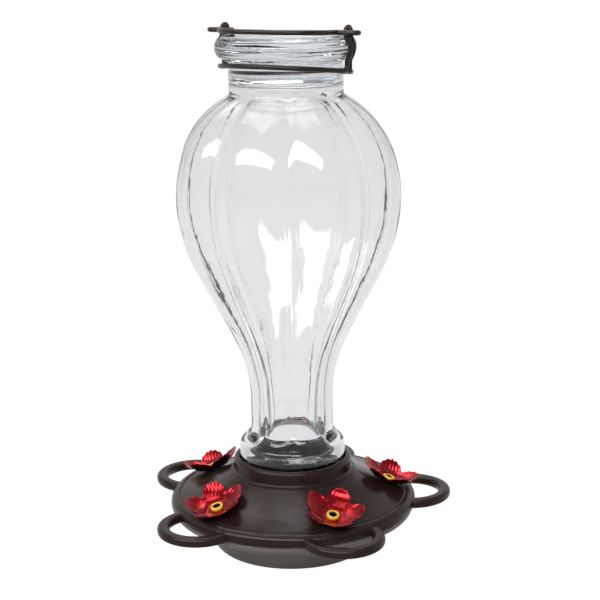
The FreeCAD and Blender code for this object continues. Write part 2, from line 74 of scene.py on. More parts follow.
def place_camera():
    """A long lens, a little above the feeder, that looks at its middle."""
    lens = bpy.data.cameras.new("camera")
    lens.lens = LENS_MM
    lens.sensor_width = SENSOR_MM
    lens.clip_start = NEAREST_SEEN
    camera = bpy.data.objects.new("camera", lens)
    back = Vector((0, -cos(PITCH), sin(PITCH)))
    camera.location = TARGET + back * DISTANCE
    camera.rotation_mode = "QUATERNION"
    level_view = back.to_track_quat("Z", "Y")
    camera.rotation_quaternion = level_view @ Matrix.Rotation(ROLL, 3, "Z").to_quaternion()
    scene.collection.objects.link(camera)
    return camera


scene.camera = place_camera()
scene.view_settings.view_transform = "Standard"
print("camera at", [round(v, 3) for v in scene.camera.location])

# %% [markdown]
# ## The studio
#
# Glass has no look of its own: it shows what stands round it. A catalogue photograph has a white sweep behind
# the object and a darker room round the camera. What lies behind shows through the bottle, and what lies at
# the sides and in front draws the grey edges and the quiet greys on the lobes. Real screens could do this,
# but they would stand in the way of every other view. So the world and the floor answer each ray with a
# brightness of their own, by the direction that it goes in. Rays that mirror in plastic find a darker room in
# front than rays that pass through glass, so the base keeps its depth and the bottle stays clear.

# %% Brightness by direction
BEHIND_IN_GLASS = 0.96
SIDES_IN_GLASS = 0.82
FRONT_IN_GLASS = 0.80
FRONT_IN_GLOSS = 0.28
ABOVE_IN_GLASS = 0.46
SIDES_START, SIDES_FULL = 0.30, 0.75
FRONT_START, FRONT_FULL = 0.25, -0.35
ABOVE_START, ABOVE_FULL = 0.30, 0.70


def new_node(tree, kind, operation=None, **inputs):
    """A shader node of one kind, with some of its inputs set by name."""
    node = tree.nodes.new("ShaderNode" + kind)
    if operation:
        node.operation = operation
    for socket, value in inputs.items():
        node.inputs[socket.replace("_", " ")].default_value = value
    return node


def link(tree, pairs):
    """Join sockets: each pair is (from socket, to socket)."""
    for source, target in pairs:
        tree.links.new(source, target)


def eased(tree, value, start, full):
    """A value that eases from 0 at start to 1 at full."""
    ease = new_node(tree, "MapRange", From_Min=start, From_Max=full)
    ease.interpolation_type = "SMOOTHSTEP"
    link(tree, [(value, ease.inputs["Value"])])
    return ease.outputs[0]


def blended(tree, share, first, second):
    """A mix of two brightnesses. Each is a number or a socket."""
    mix = new_node(tree, "Mix")
    link(tree, [(share, mix.inputs["Factor"])])
    for socket, brightness in (("A", first), ("B", second)):
        if isinstance(brightness, float):
            mix.inputs[socket].default_value = brightness
        else:
            link(tree, [(brightness, mix.inputs[socket])])
    return mix.outputs["Result"]


def surroundings(tree, direction, through_glass):
    """What stands in each direction, as a brightness."""
    unit = new_node(tree, "VectorMath", "NORMALIZE")
    axes = new_node(tree, "SeparateXYZ")
    aside = new_node(tree, "Math", "ABSOLUTE")
    link(tree, [
        (direction, unit.inputs[0]),
        (unit.outputs[0], axes.inputs[0]),
        (axes.outputs["X"], aside.inputs[0]),
    ])
    at_side = eased(tree, aside.outputs[0], SIDES_START, SIDES_FULL)
    in_front = eased(tree, axes.outputs["Y"], FRONT_START, FRONT_FULL)
    overhead = eased(tree, axes.outputs["Z"], ABOVE_START, ABOVE_FULL)
    front = blended(tree, through_glass, FRONT_IN_GLOSS, FRONT_IN_GLASS)
    brightness = blended(tree, at_side, BEHIND_IN_GLASS, SIDES_IN_GLASS)
    brightness = blended(tree, in_front, brightness, front)
    return blended(tree, overhead, brightness, ABOVE_IN_GLASS)


print("in glass: behind", BEHIND_IN_GLASS, "sides", SIDES_IN_GLASS, "front", FRONT_IN_GLASS)

# %% [markdown]
# ## A white room
#
# The photograph's background is pure white, but a white world would also flood the feeder with light and wash
# its colours out. A light path tells the kinds of ray apart: the camera sees plain white, glass and gloss see
# the graded room, and all other rays carry a plain grey light, at which a colour renders about as written.

# %% White room
ROOM_LIGHT = 0.32
ROOM_SEEN = 1.0
WHITE = (1, 1, 1, 1)


def either(tree, first, second):
    """1 where one of two yes-or-no values is 1."""
    larger = new_node(tree, "Math", "MAXIMUM")
    link(tree, [(first, larger.inputs[0]), (second, larger.inputs[1])])
    return larger.outputs[0]


def white_room():
    """White to the camera, graded in glass and gloss, and a plain light for all the rest."""
    world = bpy.data.worlds.new("white_room")
    scene.world = world
    world.use_nodes = True
    tree = world.node_tree
    tree.nodes.clear()
    path = new_node(tree, "LightPath")
    place = new_node(tree, "TexCoord")
    mirrored, passed = path.outputs["Is Glossy Ray"], path.outputs["Is Transmission Ray"]
    in_glass = new_node(tree, "Background")
    lit = new_node(tree, "Background", Color=WHITE, Strength=ROOM_LIGHT)
    seen = new_node(tree, "Background", Color=WHITE, Strength=ROOM_SEEN)
    first = new_node(tree, "MixShader")
    second = new_node(tree, "MixShader")
    out = new_node(tree, "OutputWorld")
    link(tree, [
        (surroundings(tree, place.outputs["Generated"], passed), in_glass.inputs["Strength"]),
        (either(tree, mirrored, passed), first.inputs[0]),
        (lit.outputs[0], first.inputs[1]),
        (in_glass.outputs[0], first.inputs[2]),
        (path.outputs["Is Camera Ray"], second.inputs[0]),
        (first.outputs[0], second.inputs[1]),
        (seen.outputs[0], second.inputs[2]),
        (second.outputs[0], out.inputs[0]),
    ])
    return world


print("room:", white_room().name)

# %% [markdown]
# ## The floor
#
# The feeder stands on white paper that has no edge in the picture. Paper lit by lamps turns out grey or
# uneven, so most of its white is a glow that only the camera sees. The rest is matt paper, and it keeps the
# soft shadow under the base. Seen in glass or gloss, the floor goes on with the graded room, by its direction
# from the bottle, so that no line shows in the glass where the floor ends.

# %% White floor
FLOOR_SIZE = 40.0
FLOOR_GREY = (0.86, 0.86, 0.86, 1)
FLOOR_GLOW = 1.16
FLOOR_GLOW_SHARE = 0.84
BOTTLE_MIDDLE = Vector((0, 0, 0.13))


def partly(tree, yes_or_no, share):
    """A share where a yes-or-no value is 1, and 0 elsewhere."""
    product = new_node(tree, "Math", "MULTIPLY")
    product.inputs[1].default_value = share
    link(tree, [(yes_or_no, product.inputs[0])])
    return product.outputs[0]


def floor_paper():
    """Matt paper with a glow for the camera, and the room's greys for glass and gloss."""
    paper = bpy.data.materials.new("floor_paper")
    paper.use_nodes = True
    tree = paper.node_tree
    tree.nodes.clear()
    path = new_node(tree, "LightPath")
    place = new_node(tree, "TexCoord")
    mirrored, passed = path.outputs["Is Glossy Ray"], path.outputs["Is Transmission Ray"]
    from_bottle = new_node(tree, "VectorMath", "SUBTRACT")
    from_bottle.inputs[1].default_value = BOTTLE_MIDDLE
    matt = new_node(tree, "BsdfDiffuse", Color=FLOOR_GREY)
    seen = new_node(tree, "Emission", Strength=FLOOR_GLOW)
    in_glass = new_node(tree, "Emission")
    first = new_node(tree, "MixShader")
    second = new_node(tree, "MixShader")
    out = new_node(tree, "OutputMaterial")
    link(tree, [
        (place.outputs["Object"], from_bottle.inputs[0]),
        (surroundings(tree, from_bottle.outputs[0], passed), in_glass.inputs["Strength"]),
        (partly(tree, path.outputs["Is Camera Ray"], FLOOR_GLOW_SHARE), first.inputs[0]),
        (matt.outputs[0], first.inputs[1]),
        (seen.outputs[0], first.inputs[2]),
        (partly(tree, either(tree, mirrored, passed), FLOOR_GLOW_SHARE), second.inputs[0]),
        (first.outputs[0], second.inputs[1]),
        (in_glass.outputs[0], second.inputs[2]),
        (second.outputs[0], out.inputs[0]),
    ])
    return paper


def white_floor():
    mesh = bpy.data.meshes.new("floor")
    half = FLOOR_SIZE / 2
    corners = [(-half, -half, 0), (half, -half, 0), (half, half, 0), (-half, half, 0)]
    mesh.from_pydata(corners, [], [(0, 1, 2, 3)])
    mesh.materials.append(floor_paper())
    floor = bpy.data.objects.new("floor", mesh)
    scene.collection.objects.link(floor)
    return floor


print("floor:", white_floor().name, FLOOR_SIZE, "m wide")

# %% [markdown]
# ## Three softboxes
#
# The two bright patches high on the bottle are a wide, low window of light in the front, mirrored in each
# lobe. Point lamps would give white dots there, so every lamp is a rectangle. A small box behind the feeder
# grazes the top of the dome and the rim, and a large weak one overhead brings out the folds of the petals.

# %% Softboxes
AIM_Z = 0.15


def softbox(name, azimuth, elevation, distance, width, height, watts):
    """A rectangular lamp that faces the bottle."""
    lamp = bpy.data.lights.new(name, "AREA")
    lamp.shape = "RECTANGLE"
    lamp.size = width
    lamp.size_y = height
    lamp.energy = watts
    box = bpy.data.objects.new(name, lamp)
    direction = Vector((sin(azimuth) * cos(elevation), -cos(azimuth) * cos(elevation), sin(elevation)))
    box.location = Vector((0, 0, AIM_Z)) + direction * distance
    box.rotation_mode = "QUATERNION"
    box.rotation_quaternion = direction.to_track_quat("Z", "Y")
    scene.collection.objects.link(box)
    print(name, watts, "W")


softbox("front_window", radians(-27), radians(39), distance=1.6, width=2.8, height=0.46, watts=30)
softbox("back_box", radians(185), radians(68), distance=1.7, width=0.9, height=0.7, watts=5.5)
softbox("overhead_box", radians(210), radians(74), distance=1.5, width=1.1, height=1.5, watts=10)

# %% [markdown]
# ## How a finish is made
#
# No real finish is one flat colour. Moulded plastic has a fine orange-peel skin and a little mottling, enamel
# has flakes under its clear coat, and poured glass is faintly wavy. Pictures of each surface could be wrapped
# round the pieces, but noise in space needs no unwrapping and has no seam. One helper builds all finishes:
# the colour and the roughness wander with soft patches, and a finer grain lifts the surface. The first one
# is the dull grey rubber of the ring that the bottle stands on.

# %% A finish with variation
PATCHES_LOW, PATCHES_HIGH = 0.3, 0.7
PATCHES_DETAIL = 4.0
GRAIN_DETAIL = 3.0


def finish(name, colour, other_colour, roughness, spread, grain_mm, bump_mm, patch_mm=12.0, drawn=1.0,
           **sockets):
    """A finish of two colours in soft patches, with a fine grain as bump, which can be drawn out upright."""
    material = bpy.data.materials.new(name)
    material.use_nodes = True
    tree = material.node_tree
    shader = tree.nodes["Principled BSDF"]
    place = new_node(tree, "TexCoord")
    patches = new_node(tree, "TexNoise", Scale=1000.0 / patch_mm, Detail=PATCHES_DETAIL)
    colours = new_node(tree, "Mix")
    colours.data_type = "RGBA"
    colours.inputs["A"].default_value = (*colour, 1)
    colours.inputs["B"].default_value = (*other_colour, 1)
    gloss = new_node(tree, "MapRange", From_Min=PATCHES_LOW, From_Max=PATCHES_HIGH,
                     To_Min=roughness - spread, To_Max=roughness + spread)
    draw_out = new_node(tree, "Mapping", Scale=(1, 1, 1 / drawn))
    grain = new_node(tree, "TexNoise", Scale=1000.0 / grain_mm, Detail=GRAIN_DETAIL)
    lift = new_node(tree, "Bump", Strength=1.0, Distance=bump_mm * MM)
    link(tree, [
        (place.outputs["Object"], patches.inputs["Vector"]),
        (patches.outputs[0], colours.inputs["Factor"]),
        (colours.outputs["Result"], shader.inputs["Base Color"]),
        (patches.outputs[0], gloss.inputs["Value"]),
        (gloss.outputs[0], shader.inputs["Roughness"]),
        (place.outputs["Object"], draw_out.inputs["Vector"]),
        (draw_out.outputs[0], grain.inputs["Vector"]),
        (grain.outputs[0], lift.inputs["Height"]),
        (lift.outputs[0], shader.inputs["Normal"]),
    ])
    for socket, value in sockets.items():
        shader.inputs[socket.replace("_", " ")].default_value = value
    return material


seal_rubber = finish("seal_rubber", (0.60, 0.60, 0.58), (0.52, 0.52, 0.50), roughness=0.55, spread=0.06,
                     grain_mm=0.4, bump_mm=0.01)
print("first finish:", seal_rubber.name)

# %% [markdown]
# ## The two dark plastics
#
# The cover is moulded in a brown so dark that most of what the eye sees of it is gloss. The bowl is written
# in a greyer and much lighter brown, and that lightness is partly painted light: the bounce from the white
# floor under it. The cover's brown could be written lighter to show, but then it turns to chocolate: it stays
# almost black, and a lowered specular level keeps the gloss from greying it. Fine moulds leave an orange-peel
# skin of a third of a millimetre, only microns deep.

# %% Plastics of the cover and the bowl
bronze_plastic = finish("bronze_plastic", (0.0165, 0.0080, 0.0060), (0.0220, 0.0118, 0.0090), roughness=0.26,
                        spread=0.03, grain_mm=0.35, bump_mm=0.002, Specular_IOR_Level=0.26)
# Painted light: the bowl's colours are raised to carry the bounce from the white floor under it.
bowl_plastic = finish("bowl_plastic", (0.120, 0.101, 0.090), (0.142, 0.121, 0.108), roughness=0.40,
                      spread=0.05, grain_mm=0.35, bump_mm=0.004, Specular_IOR_Level=0.35)
print("plastics:", bronze_plastic.name, "and", bowl_plastic.name)

# %% [markdown]
# ## The painted wires
#
# The collar and the bail are bent steel wire under dark baked paint. Bare steel would mirror the room, and
# plain black would look like rubber. The paint is a dark brown of middling roughness, with a coarser grain
# than the plastic, because it flowed and set on the wire.

# %% Paint of the wires
wire_paint = finish("wire_paint", (0.0125, 0.0075, 0.0050), (0.0220, 0.0140, 0.0100), roughness=0.33,
                    spread=0.06, grain_mm=0.5, bump_mm=0.010, Specular_IOR_Level=0.4)
print("wires:", wire_paint.name)

# %% [markdown]
# ## The enamel of the blossoms
#
# The blossoms are stamped metal under a clear red lacquer. Light goes through the red, meets the metal and
# comes back, so even the highlights are red, and a petal goes dark where it mirrors the dark room. A red
# plastic has white highlights and no such depth. So the base is a metal with a red of its own, and a thin
# clear coat adds the few pale glints.

# %% Red enamel
red_enamel = finish("red_enamel", (0.50, 0.0022, 0.0060), (0.25, 0.0008, 0.0080), roughness=0.19, spread=0.05,
                    grain_mm=0.25, bump_mm=0.004, patch_mm=4.0, Metallic=1.0, Coat_Weight=0.4,
                    Coat_Roughness=0.05)
print("blossoms:", red_enamel.name)

# %% [markdown]
# ## The yellow ports
#
# The ports are small glossy mouldings in a warm yellow that leans towards orange in its shade. Their colour
# varies over a few millimetres, and a light coat gives the sharp ring of light on their lips.

# %% Yellow plastic
yellow_plastic = finish("yellow_plastic", (0.83, 0.56, 0.045), (0.72, 0.44, 0.035), roughness=0.24,
                        spread=0.04, grain_mm=0.6, bump_mm=0.004, patch_mm=3.0, Coat_Weight=0.4,
                        Coat_Roughness=0.08)
print("ports:", yellow_plastic.name)

# %% [markdown]
# ## The clear glass
#
# Light passes four skins on its way through a bottle, so this glass is nearly white, and a little colour
# goes a long way. It could be a thin shell that only bends light at its edges, but the real wall is three
# millimetres thick: the shader fills a closed skin, and a faint tint inside it grows with the depth of the
# glass. The streaks are the same grain as on the other finishes, drawn out upright sevenfold, as the glass
# flowed down its mould.

# %% Clear glass
GLASS_TINT = (0.42, 0.50, 0.56)
GLASS_DENSITY = 6.0


def absorbing(material, colour, density):
    """Fill a clear material with a faint tint, which shows where the glass is thick."""
    tree = material.node_tree
    tint = new_node(tree, "VolumeAbsorption", Color=(*colour, 1), Density=density)
    link(tree, [(tint.outputs[0], tree.nodes["Material Output"].inputs["Volume"])])


clear_glass = finish("clear_glass", (0.938, 0.941, 0.949), (0.931, 0.936, 0.945), roughness=0.012,
                     spread=0.004, grain_mm=7.0, bump_mm=0.13, patch_mm=30.0, drawn=7.0,
                     Transmission_Weight=1.0, IOR=1.5)
absorbing(clear_glass, GLASS_TINT, GLASS_DENSITY)
print("bottle:", clear_glass.name)

# %% [markdown]
# ## Pieces that keep their construction mesh
#
# The base cover, the bowl, the wires, the ports and the seal already have their true form, with the perches
# blended into the rim. They could be built again here, but that would only bring in misfits. They need smooth
# shading and a finish, and their points are never moved.

# %% Finish the cover, bowl, wires, ports and seal
FINISH_OF_SLOT = {
    "bronze_plastic": bronze_plastic,
    "bowl_plastic": bowl_plastic,
    "coated_wire": wire_paint,
    "yellow_plastic": yellow_plastic,
    "seal_rubber": seal_rubber,
    "red_enamel": red_enamel,
    "clear_glass": clear_glass,
}
slot_of = {part["node"]: part["material_slot"] for part in frame["record"]["subparts"]}
for name, node in nodes.items():
    node.data.materials.clear()
    node.data.materials.append(FINISH_OF_SLOT[slot_of[name]])
    node.data.shade_smooth()
print("finished", len(nodes), "construction pieces")

# %% [markdown]
# ## Points on the feeder
#
# Everything on this feeder stands round one upright axis, so a place is a radius, a direction round the axis
# and a height. The direction is counted from the side that the camera sees, towards the right.

# %% A place by radius, direction and height
PORTS = 5
FIRST_PORT_AZIMUTH = 23.0
PORT_SEAT_REACH = 51.3
PORT_SEAT_Z = 30.98


def at(radius, azimuth, z):
    """A point by radius, direction in degrees and height, all in millimetres, as metres."""
    a = radians(azimuth)
    return Vector((radius * sin(a), -radius * cos(a), z)) * MM


print("first port's seat at", [round(v, 4) for v in at(PORT_SEAT_REACH, FIRST_PORT_AZIMUTH, PORT_SEAT_Z)])

# %% [markdown]
# ## The glass bottle: its lobes
#
# The bottle was blown into a mould with eight lobes, like a melon. A wave on a circle would make lobes with
# valleys as broad as their crests, but glass shows that fault at once: the real lobes are round and the
# valleys between them narrow. Seen from above, each lobe is a large arc, and a small reversed arc joins it to
# the next one. The two arcs touch on the line between their centres.

# %% Radius of the lobed section
LOBES = 8
LOBE_VALLEY_AZIMUTH = 2.0
LOBE_ARC_SHARE = 0.431
VALLEY_ARC_SHARE = 0.085


def lobed_radius(azimuth, crest_r, inset):
    """Radius of the lobed section in one direction, inset from the outer skin."""
    half_pitch = pi / LOBES
    from_crest = (radians(azimuth - LOBE_VALLEY_AZIMUTH) % (2 * half_pitch)) - half_pitch
    lobe_arc = LOBE_ARC_SHARE * crest_r
    valley_arc = VALLEY_ARC_SHARE * crest_r
    lobe_centre = crest_r - lobe_arc
    reach = sqrt((lobe_arc + valley_arc) ** 2 - (lobe_centre * sin(half_pitch)) ** 2)
    valley_centre = lobe_centre * cos(half_pitch) + reach
    # The direction from the lobe's centre to the valley's centre gives the point where the arcs touch
    turn = atan2(valley_centre * sin(half_pitch), valley_centre * cos(half_pitch) - lobe_centre)
    lobe_arc -= inset
    valley_arc += inset
    touch = atan2(lobe_arc * sin(turn), lobe_centre + lobe_arc * cos(turn))
    if abs(from_crest) < touch:
        across = lobe_centre * sin(from_crest)
        return lobe_centre * cos(from_crest) + sqrt(lobe_arc ** 2 - across ** 2)
    from_valley = half_pitch - abs(from_crest)
    across = valley_centre * sin(from_valley)
    return valley_centre * cos(from_valley) - sqrt(valley_arc ** 2 - across ** 2)


crest, valley = (lobed_radius(LOBE_VALLEY_AZIMUTH + turn, 100, 0) for turn in (180 / LOBES, 0))
print("where the crests stand at", round(crest), "the valleys stand at", round(valley, 1))

# %% [markdown]
# ## The glass bottle: its swelling
#
# From the side, the crests rise straight out of the foot, swell to the belly and round over to the neck. A
# circle or an ellipse is too regular for such a shape, so the line goes through a few knots, measured as
# shares of the way from waist to belly and from belly to neck. A cubic curve whose slopes average their
# neighbours' keeps it fair between the knots.

# %% The line of the crests
WAIST_R, WAIST_Z = 22.4, 74.0
BELLY_R, BELLY_Z = 59.3, 190.0
NECK_R, SHOULDER_TOP_Z = 29.0, 239.0
STRAIGHT_WAIST = 10
LOWER_SWELL = ((0.0, 0.0), (0.15, 0.018), (0.26, 0.10), (0.40, 0.29), (0.57, 0.578), (0.74, 0.84),
               (0.88, 0.965))
UPPER_SWELL = ((0.0, 1.0), (0.286, 0.95), (0.53, 0.825), (0.735, 0.61), (0.898, 0.33), (1.0, 0.085),
               (1.08, -0.14))


def smooth_curve(knots, x):
    """A smooth curve through knots of (x, y), by cubic pieces whose slopes average their neighbours'."""
    slopes = []
    for i in range(len(knots)):
        sides = []
        for j in (i - 1, i):
            if 0 <= j < len(knots) - 1:
                sides.append((knots[j + 1][1] - knots[j][1]) / (knots[j + 1][0] - knots[j][0]))
        slopes.append(sum(sides) / len(sides))
    i = 0
    while x > knots[i + 1][0] and i < len(knots) - 2:
        i += 1
    (x0, y0), (x1, y1) = knots[i], knots[i + 1]
    step = x1 - x0
    t = (x - x0) / step
    line = y0 * (1 + 2 * t) * (1 - t) ** 2 + y1 * t * t * (3 - 2 * t)
    return line + slopes[i] * step * t * (1 - t) ** 2 + slopes[i + 1] * step * t * t * (t - 1)


def crest_line():
    """Knots of (height, radius) from the straight waist to the neck."""
    knots = [(WAIST_Z - STRAIGHT_WAIST, WAIST_R)]
    for height, swell in LOWER_SWELL:
        knots.append((WAIST_Z + height * (BELLY_Z - WAIST_Z), WAIST_R + swell * (BELLY_R - WAIST_R)))
    for height, swell in UPPER_SWELL:
        knots.append((BELLY_Z + height * (SHOULDER_TOP_Z - BELLY_Z), NECK_R + swell * (BELLY_R - NECK_R)))
    return knots


CREST_LINE = crest_line()


def crest_radius(z):
    """How far the lobes' crests stand from the axis at a height."""
    if z < WAIST_Z:
        return WAIST_R
    return smooth_curve(CREST_LINE, min(z, CREST_LINE[-1][0]))


print("crests at the belly", round(crest_radius(BELLY_Z), 1), "mm, valleys",
      round(lobed_radius(LOBE_VALLEY_AZIMUTH, BELLY_R, 0), 1), "mm")

# %% [markdown]
# ## The glass bottle: one skin of rings
#
# A bottle could be turned as a solid of revolution, but this one is round only at its neck and its foot. So
# its skin is a stack of closed rings, each with a point in every direction, and each ring asks for its radius
# there. Where the lobed body grows out of the round neck and the round foot, the larger radius wins, with a
# soft fillet, as in glass that flowed there.

# %% Rings and fillets
AROUND = LOBES * 22
FILLET = 2.4
RING_STEP = 1.5
NECK_JOIN_Z = 225


def ring(z, radius_in):
    """One ring of the skin at a height, from a function that gives the radius in a direction."""
    points = []
    for k in range(AROUND):
        azimuth = LOBE_VALLEY_AZIMUTH + 360.0 * k / AROUND
        points.append(at(radius_in(azimuth), azimuth, z))
    return points


def smooth_max(a, b, blend):
    """The larger of two radii, with a fillet where they cross."""
    near = max(blend - abs(a - b), 0) / blend
    return max(a, b) + near * near * blend / 4


def body_radius(azimuth, z, inset):
    """The lobed body, which gives way to the round neck at the shoulder."""
    lobed = lobed_radius(azimuth, crest_radius(z), inset)
    if z > NECK_JOIN_Z:
        return smooth_max(lobed, NECK_R - inset, FILLET)
    return lobed


belly = ring(BELLY_Z, lambda azimuth: body_radius(azimuth, BELLY_Z, 0))
print("the ring at the belly reaches", round(max(point.y for point in belly) / MM, 1), "mm back")

# %% Outlines with rounded corners
def rounded_outline(corners, steps=7):
    """A line of (radius, height) points through corners of (radius, height, rounding)."""
    line = []
    for i, (r, z, rounding) in enumerate(corners):
        here = Vector((r, z))
        if rounding == 0 or i in (0, len(corners) - 1):
            line.append((r, z))
            continue
        behind = (Vector(corners[i - 1][:2]) - here).normalized()
        ahead = (Vector(corners[i + 1][:2]) - here).normalized()
        half = behind.angle(ahead) / 2
        centre = here + (behind + ahead).normalized() * rounding / sin(half)
        start = here + behind * rounding / tan(half) - centre
        end = here + ahead * rounding / tan(half) - centre
        for k in range(steps + 1):
            point = centre + start.slerp(end, k / steps) * rounding
            line.append((point.x, point.y))
    return line


print("a rounded corner has", len(rounded_outline([(0, 0, 0), (9, 0, 2), (9, 9, 0)])) - 2, "points")

# %% [markdown]
# ## The glass bottle: its outside
#
# The outside starts in the middle of the closed top, goes round the thick lip bead that the collar hangs
# under, down the neck and the lobes, over the cone where the waist meets the foot bead, and ends inside the
# mouth, which stands hidden in the base. The mould left faint rings on the lip bead. They are made as shape
# and not as bump, because they bend what is seen through the bead.

# %% Rings of the outside
NEAR_AXIS = 0.3
TOP_RECESS_R, TOP_RECESS_DEPTH, TOP_RECESS_FLOOR_R, TOP_RECESS_ROUND = 24.0, 1.2, 20.0, 1.2
BEAD_R, BEAD_BOTTOM_Z, BEAD_HEIGHT, BEAD_ROUND = 35.7, 257.5, 12.4, 5.9
BEAD_STEPS = 18
UNDER_BEAD_ROUND = 1.8
NECK_END_Z, BODY_TOP_Z = 246, 245.0
FOOT_SEAT_Z, FOOT_R, FOOT_ROUND, FOOT_SHOULDER_Z = 45.7, 27.9, 4.5, 57.6
FOOT_SEAT_ROUND, FOOT_CORNER_ROUND = 1.2, 0.3
CONE_RISE, CONE_INSET = 5.6, 3.6
CONE_EDGE, CONE_DEPTH = 0.5, 2
MOUTH_Z, MOUTH_R, MOUTH_WALL, MOUTH_ROUND = 18.0, 23.6, 3.4, 1.6
THROAT_START_Z = 30.0
RIPPLE, RIPPLE_PITCH = 0.10, 2.7
RIPPLE_START, RIPPLE_ONSET = 1, 3
RIPPLE_STRAYS = ((0.5, 3, 0), (0.3, 7, 40))


def ripple(azimuth, r, z):
    """Faint rings that the mould left on the lip bead, and none further in."""
    on_bead = min(max((r - NECK_R - RIPPLE_START) / RIPPLE_ONSET, 0), 1)
    stray = sum(size * sin(radians(waves * azimuth + start)) for size, waves, start in RIPPLE_STRAYS)
    return RIPPLE * on_bead * sin(2 * pi * z / RIPPLE_PITCH + stray)


def lip_rings():
    """From the middle of the top, over the lip bead, down to the neck."""
    bead_top = BEAD_BOTTOM_Z + BEAD_HEIGHT
    recess_z = bead_top - TOP_RECESS_DEPTH
    outline = rounded_outline([
        (NEAR_AXIS, recess_z, 0),
        (TOP_RECESS_FLOOR_R, recess_z, TOP_RECESS_ROUND),
        (TOP_RECESS_R, bead_top, TOP_RECESS_ROUND),
        (BEAD_R, bead_top, BEAD_ROUND),
        (BEAD_R, BEAD_BOTTOM_Z, BEAD_ROUND),
        (NECK_R, BEAD_BOTTOM_Z, UNDER_BEAD_ROUND),
        (NECK_R, NECK_END_Z, 0),
    ], BEAD_STEPS)
    return [ring(z, lambda azimuth: r + ripple(azimuth, r, z)) for r, z in outline]


def lobe_rings():
    """Down the neck and the lobes, to the cone at the waist's foot."""
    rings = []
    z = BODY_TOP_Z
    while z > FOOT_SHOULDER_Z + CONE_RISE:
        rings.append(ring(z, lambda azimuth: body_radius(azimuth, z, 0)))
        z -= RING_STEP
    return rings


def foot_rings():
    """Over the cone and the foot bead, and round the mouth's edge."""
    mouth_inner_r = MOUTH_R - MOUTH_WALL
    outline = rounded_outline([
        (WAIST_R - CONE_INSET, FOOT_SHOULDER_Z + CONE_RISE, 0),
        (FOOT_R, FOOT_SHOULDER_Z, FOOT_ROUND),
        (FOOT_R, FOOT_SEAT_Z, FOOT_SEAT_ROUND),
        (MOUTH_R, FOOT_SEAT_Z, FOOT_CORNER_ROUND),
        (MOUTH_R, MOUTH_Z, MOUTH_ROUND),
        (mouth_inner_r, MOUTH_Z, MOUTH_ROUND),
        (mouth_inner_r, THROAT_START_Z - RING_STEP, 0),
    ])
    rings = []
    for r, z in outline:
        if r < FOOT_R - CONE_EDGE and z > FOOT_SHOULDER_Z - CONE_DEPTH:
            rings.append(ring(z, lambda azimuth: smooth_max(body_radius(azimuth, z, 0), r, FILLET)))
        else:
            rings.append(ring(z, lambda azimuth: r))
    return rings


outside = lip_rings() + lobe_rings() + foot_rings()
print("outside:", len(outside), "rings of", AROUND, "points")

# %% [markdown]
# ## The glass bottle: its inside
#
# What makes glass look like glass is its second skin. The inside follows the lobes at one wall's thickness,
# but it was shaped by breath and not by the mould, so it strays a little from an even wall: that bends the
# reflections. Lower down the lobes fade into a round throat, which widens into the hollow foot bead. At the
# top the glass is a thick solid plug, and its underside is the bright edge below the lip.

# %% Rings of the inside
GLASS_WALL = 3.0
THROAT = ((THROAT_START_Z, 20.2), (40.0, 21.0), (45.0, 23.4), (50.0, 23.8), (55.0, 22.4), (60.5, 19.9),
          (70.0, 19.0))
LOBES_FADE_Z, LOBES_FADE_HEIGHT = 59.0, 10.0
CEILING_Z, CEILING_ROUND = 250.0, 6.0
CEILING_LEAD, INSIDE_LEAD = 7.5, 8
WALL_WANDER, NARROW_SHARE = 0.40, 0.35
BROAD_PATCHES, NARROW_PATCHES = (2.2, 24), (7.0, 60)


def strays(azimuth, z, patches):
    """Soft noise round the bottle, with a number of patches round it and a height for each."""
    around, tall = patches
    a = radians(azimuth)
    return noise.noise(Vector((around * sin(a), around * cos(a), z / tall)))


def smooth_step(t):
    """0 below 0, 1 above 1, and an even rise between them."""
    t = min(max(t, 0), 1)
    return t * t * (3 - 2 * t)


def inside_radius(azimuth, z):
    """The inside follows the outside at one wall's thickness, and eases into the round throat."""
    wander = strays(azimuth, z, BROAD_PATCHES) + NARROW_SHARE * strays(azimuth, z, NARROW_PATCHES)
    lobed = body_radius(azimuth, z, GLASS_WALL) + WALL_WANDER * wander
    throat_r = smooth_curve(THROAT, min(z, THROAT[-1][0]))
    return throat_r + (lobed - throat_r) * smooth_step((z - LOBES_FADE_Z) / LOBES_FADE_HEIGHT)


def inside_rings():
    """From the throat up to the ceiling under the lip."""
    rings = []
    z = THROAT_START_Z
    while z < CEILING_Z - INSIDE_LEAD:
        rings.append(ring(z, lambda azimuth: inside_radius(azimuth, z)))
        z += RING_STEP
    neck_inner_r = NECK_R - GLASS_WALL
    outline = rounded_outline([
        (neck_inner_r, CEILING_Z - CEILING_LEAD, 0),
        (neck_inner_r, CEILING_Z, CEILING_ROUND),
        (NEAR_AXIS, CEILING_Z, 0),
    ])
    return rings + [ring(z, lambda azimuth: r) for r, z in outline]


inside = inside_rings()
print("inside:", len(inside), "rings, narrowest wall of the belly about", GLASS_WALL - WALL_WANDER, "mm")

# %% [markdown]
# ## The glass bottle: skin it
#
# The rings of the outside and the inside make one closed skin, so that the shader knows where glass begins
# and ends. Each pair of neighbours is joined by a band of four-sided faces, and the first and the last ring
# are closed by a small cap at the axis.

# %% Skin the rings
def new_piece(name, points, faces, body, material):
    """A smooth mesh piece that rides on a body, with the finish that it is given."""
    mesh = bpy.data.meshes.new(name)
    mesh.from_pydata(points, [], faces)
    mesh.shade_smooth()
    mesh.materials.append(material)
    piece = bpy.data.objects.new(name, mesh)
    scene.collection.objects.link(piece)
    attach(piece, body)
    return piece


